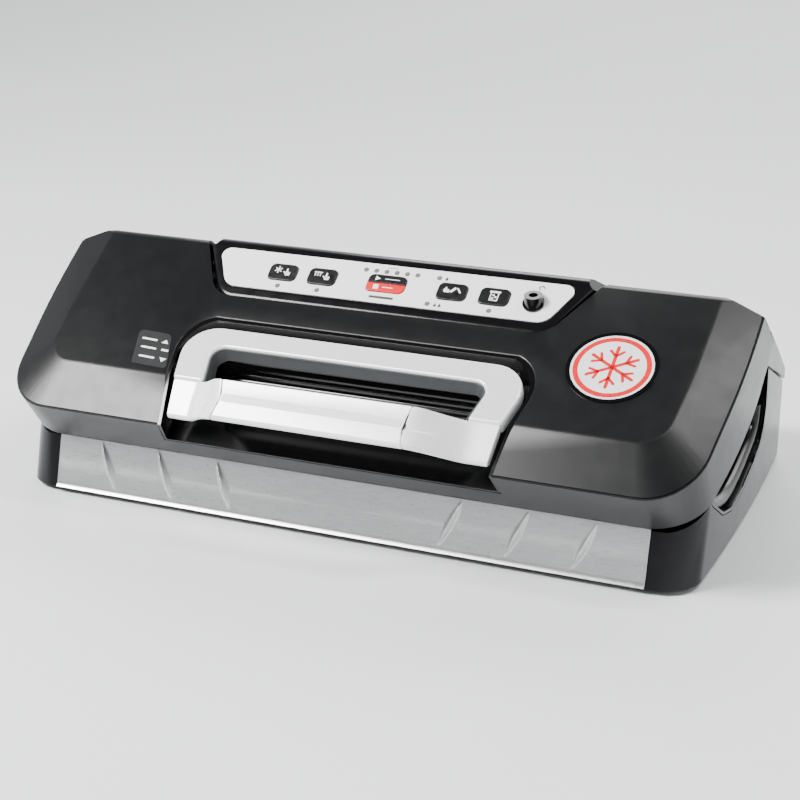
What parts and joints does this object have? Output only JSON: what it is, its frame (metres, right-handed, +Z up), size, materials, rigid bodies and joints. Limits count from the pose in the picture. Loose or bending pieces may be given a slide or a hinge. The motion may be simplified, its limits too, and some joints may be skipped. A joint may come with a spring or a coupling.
{
  "type": "vacuum sealer",
  "caption": "Wedge-shaped countertop bag sealer with a hinged lid, a silver lever handle, a sloping key panel, a hose port, a steel front and a bag cutter.",
  "frame": {"origin": "centre of the outer box, at the bottom of the feet", "axes": "+X to the right along the length, +Y to the rear, +Z up; the handle and the steel plate face -Y"},
  "size_m": [0.494, 0.315, 0.16],
  "materials": {
    "base_black": "satin black moulded shell",
    "brushed_steel": "fine brushed along X",
    "deck_grey": "fine grained dark plastic",
    "panel_silver": "satin silver paint",
    "lamp_clear": "clear light guide, unlit",
    "gloss_black": "polished black",
    "board_green": "solder mask",
    "pin_steel": "zinc plated",
    "transformer_tape": "varnished winding and core",
    "hose_clear": "silicone hose",
    "ceramic_tan": "heat-proof moulding",
    "heating_metal": "flat resistance strip",
    "tape_brown": "woven non-stick tape",
    "foam_grey": "closed-cell foam",
    "rail_aluminium": "extruded rail",
    "rubber_black": "soft foot",
    "lid_black": "matt black, fine grain",
    "frame_grey": "satin dark grey",
    "silicone_red": "silicone strip",
    "badge_white": "white inlay",
    "silver_satin": "satin silver, fine grain",
    "silver_bright": "bright satin metal",
    "carriage_orange": "moulded carriage",
    "key_black": "semi-gloss key cap",
    "red_plastic": "red key cap"
  },
  "bodies": {
    "base": {"base_shell": "base_black", "hand_cups": "gloss_black", "bottom_plate": "base_black", "front_plate": "brushed_steel", "deck": "deck_grey", "rear_cover": "base_black", "panel_plate": "panel_silver", "indicator_lamps": "lamp_clear", "status_bar": "lamp_clear", "hose_port": "gloss_black", "circuit_board": "board_green", "key_switches": "pin_steel", "transformer": "transformer_tape", "pump_left": "pin_steel", "pump_right": "pin_steel", "release_valve": "deck_grey", "vacuum_hoses": "hose_clear", "seal_bar_holder": "ceramic_tan", "heating_strip": "heating_metal", "nonstick_tape": "tape_brown", "lower_gasket": "foam_grey", "drip_tray": "deck_grey", "cutter_rail": "rail_aluminium", "latch_catches": "pin_steel", "hinge_pins": "pin_steel", "feet": "rubber_black", "bottom_screws": "pin_steel", "power_inlet": "gloss_black", "lid_switch": "gloss_black"},
    "lid": {"lid_cover": "lid_black", "lid_frame": "frame_grey", "lid_inner_plate": "deck_grey", "handle_well": "gloss_black", "pivot_brackets": "deck_grey", "upper_gasket": "foam_grey", "pressure_strip": "silicone_red", "hinge_barrels": "deck_grey", "badge_disc": "badge_white", "badge_ring": "gloss_black", "label_plate": "frame_grey", "lid_screws": "pin_steel"},
    "handle": {"handle_frame": "silver_satin", "handle_grip": "silver_bright", "pivot_shafts": "pin_steel", "latch_hooks": "pin_steel"},
    "cutter": {"cutter_carriage": "carriage_orange", "cutter_blade": "pin_steel"},
    "key_left_outer": {"key_left_outer": "key_black"},
    "key_left_inner": {"key_left_inner": "key_black"},
    "key_start": {"key_start": "key_black"},
    "key_stop": {"key_stop": "red_plastic"},
    "key_right_inner": {"key_right_inner": "key_black"},
    "key_right_outer": {"key_right_outer": "key_black"}
  },
  "joints": [
    {"name": "lid_hinge", "type": "hinge", "parent": "base", "child": "lid", "pos_m": [0, 0.043, 0.115], "axis": [-1, 0, 0], "range_deg": [0, 60]},
    {"name": "handle_pivot", "type": "hinge", "parent": "lid", "child": "handle", "pos_m": [0, -0.081, 0.104], "axis": [-1, 0, 0], "range_deg": [-7, 22]},
    {"name": "cutter_slide", "type": "slide", "parent": "base", "child": "cutter", "axis": [1, 0, 0], "range_m": [-0.155, 0.155]},
    {"name": "key_left_outer_press", "type": "slide", "parent": "base", "child": "key_left_outer", "axis": [0, 0.5934, -0.8049], "range_m": [0, 0.0008], "stiffness_N_per_m": 400},
    {"name": "key_left_inner_press", "type": "slide", "parent": "base", "child": "key_left_inner", "axis": [0, 0.5934, -0.8049], "range_m": [0, 0.0008], "stiffness_N_per_m": 400},
    {"name": "key_start_press", "type": "slide", "parent": "base", "child": "key_start", "axis": [0, 0.5934, -0.8049], "range_m": [0, 0.0008], "stiffness_N_per_m": 400},
    {"name": "key_stop_press", "type": "slide", "parent": "base", "child": "key_stop", "axis": [0, 0.5934, -0.8049], "range_m": [0, 0.0008], "stiffness_N_per_m": 400},
    {"name": "key_right_inner_press", "type": "slide", "parent": "base", "child": "key_right_inner", "axis": [0, 0.5934, -0.8049], "range_m": [0, 0.0008], "stiffness_N_per_m": 400},
    {"name": "key_right_outer_press", "type": "slide", "parent": "base", "child": "key_right_outer", "axis": [0, 0.5934, -0.8049], "range_m": [0, 0.0008], "stiffness_N_per_m": 400}
  ]
}
